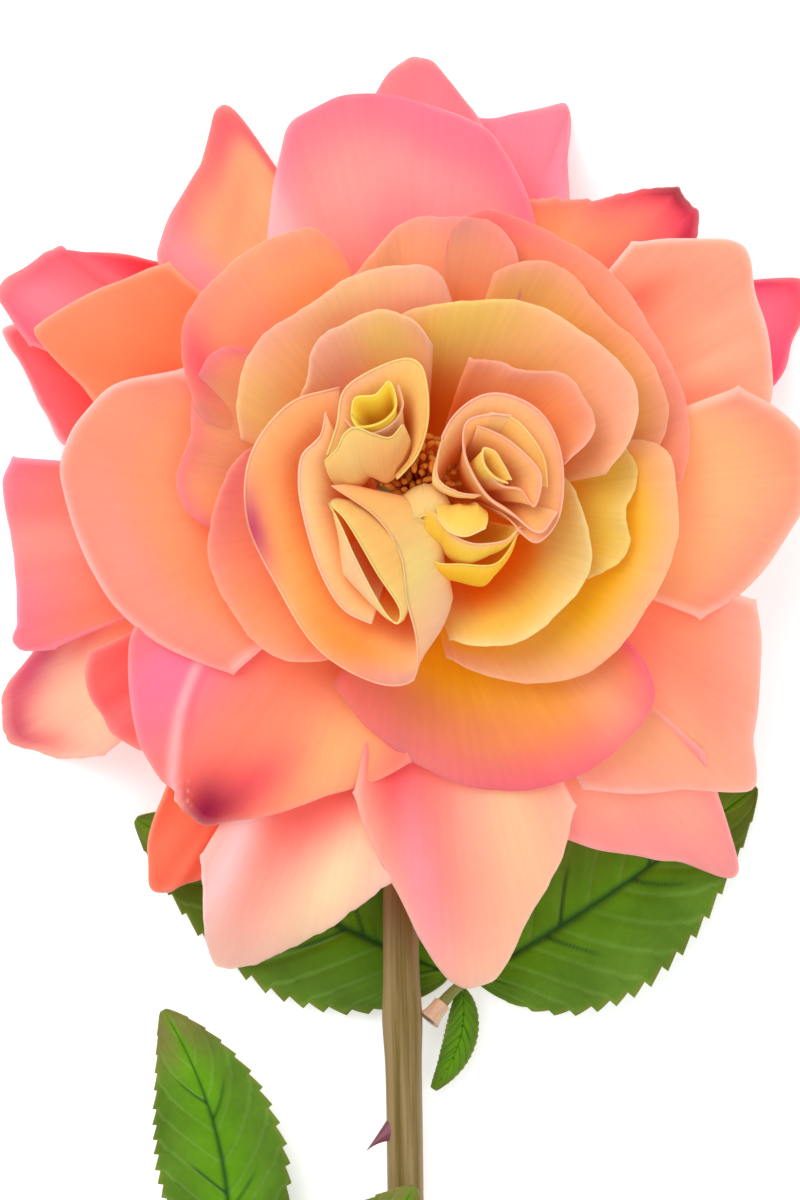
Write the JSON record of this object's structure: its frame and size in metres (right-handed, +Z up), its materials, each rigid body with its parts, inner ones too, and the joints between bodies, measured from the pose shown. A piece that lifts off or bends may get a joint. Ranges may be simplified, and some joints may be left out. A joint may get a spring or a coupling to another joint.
{
  "type": "cut rose",
  "caption": "Fully open garden rose on a leafy, thorned cut stem, lying on its back with the bloom facing up.",
  "frame": {"origin": "middle of the bottom face of the bounding box, on the surface the rose lies on", "axes": "+Z up, the way the bloom faces; +Y from the cut end of the stem towards the bloom; +X to the right when seen from above with the bloom at the top"},
  "size_m": [0.1374, 0.3986, 0.0562],
  "materials": {
    "guard_petal": "matt coral pink, thin and slightly translucent",
    "outer_petal": "matt salmon pink paling to peach",
    "middle_petal": "matt peach with pink rims",
    "inner_petal": "matt peach yellow with pink rims",
    "heart_petal": "matt golden yellow with blush rims",
    "stamens": "matt amber",
    "sepal": "matt green",
    "leaf": "satin green with dark veins",
    "leaf_stalk": "satin olive green",
    "stem": "satin olive brown"
  },
  "bodies": {
    "root": {"guard_petal_1": "guard_petal", "guard_petal_2": "guard_petal", "guard_petal_3": "guard_petal", "guard_petal_4": "guard_petal", "guard_petal_5": "guard_petal", "guard_petal_6": "guard_petal", "guard_petal_7": "guard_petal", "guard_petal_8": "guard_petal", "guard_petal_9": "guard_petal", "heart_petal_1": "heart_petal", "heart_petal_2": "heart_petal", "heart_petal_3": "heart_petal", "heart_petal_4": "heart_petal", "heart_petal_5": "heart_petal", "heart_petal_6": "heart_petal", "heart_petal_7": "heart_petal", "heart_petal_8": "heart_petal", "inner_petal_1": "inner_petal", "inner_petal_2": "inner_petal", "inner_petal_3": "inner_petal", "inner_petal_4": "inner_petal", "inner_petal_5": "inner_petal", "inner_petal_6": "inner_petal", "lower_leaf_leaflet_1": "leaf", "lower_leaf_leaflet_2": "leaf", "lower_leaf_leaflet_3": "leaf", "lower_leaf_leaflet_4": "leaf", "lower_leaf_leaflet_5": "leaf", "lower_leaf_stalk": "leaf_stalk", "middle_petal_1": "middle_petal", "middle_petal_2": "middle_petal", "middle_petal_3": "middle_petal", "middle_petal_4": "middle_petal", "middle_petal_5": "middle_petal", "middle_petal_6": "middle_petal", "middle_petal_7": "middle_petal", "middle_petal_8": "middle_petal", "outer_petal_1": "outer_petal", "outer_petal_10": "outer_petal", "outer_petal_11": "outer_petal", "outer_petal_2": "outer_petal", "outer_petal_3": "outer_petal", "outer_petal_4": "outer_petal", "outer_petal_5": "outer_petal", "outer_petal_6": "outer_petal", "outer_petal_7": "outer_petal", "outer_petal_8": "outer_petal", "outer_petal_9": "outer_petal", "sepal_1": "sepal", "sepal_2": "sepal", "sepal_3": "sepal", "sepal_4": "sepal", "sepal_5": "sepal", "stamens": "stamens", "stem": "stem", "upper_leaf_leaflet_1": "leaf", "upper_leaf_leaflet_2": "leaf", "upper_leaf_leaflet_3": "leaf", "upper_leaf_stalk": "leaf_stalk"}
  },
  "joints": []
}
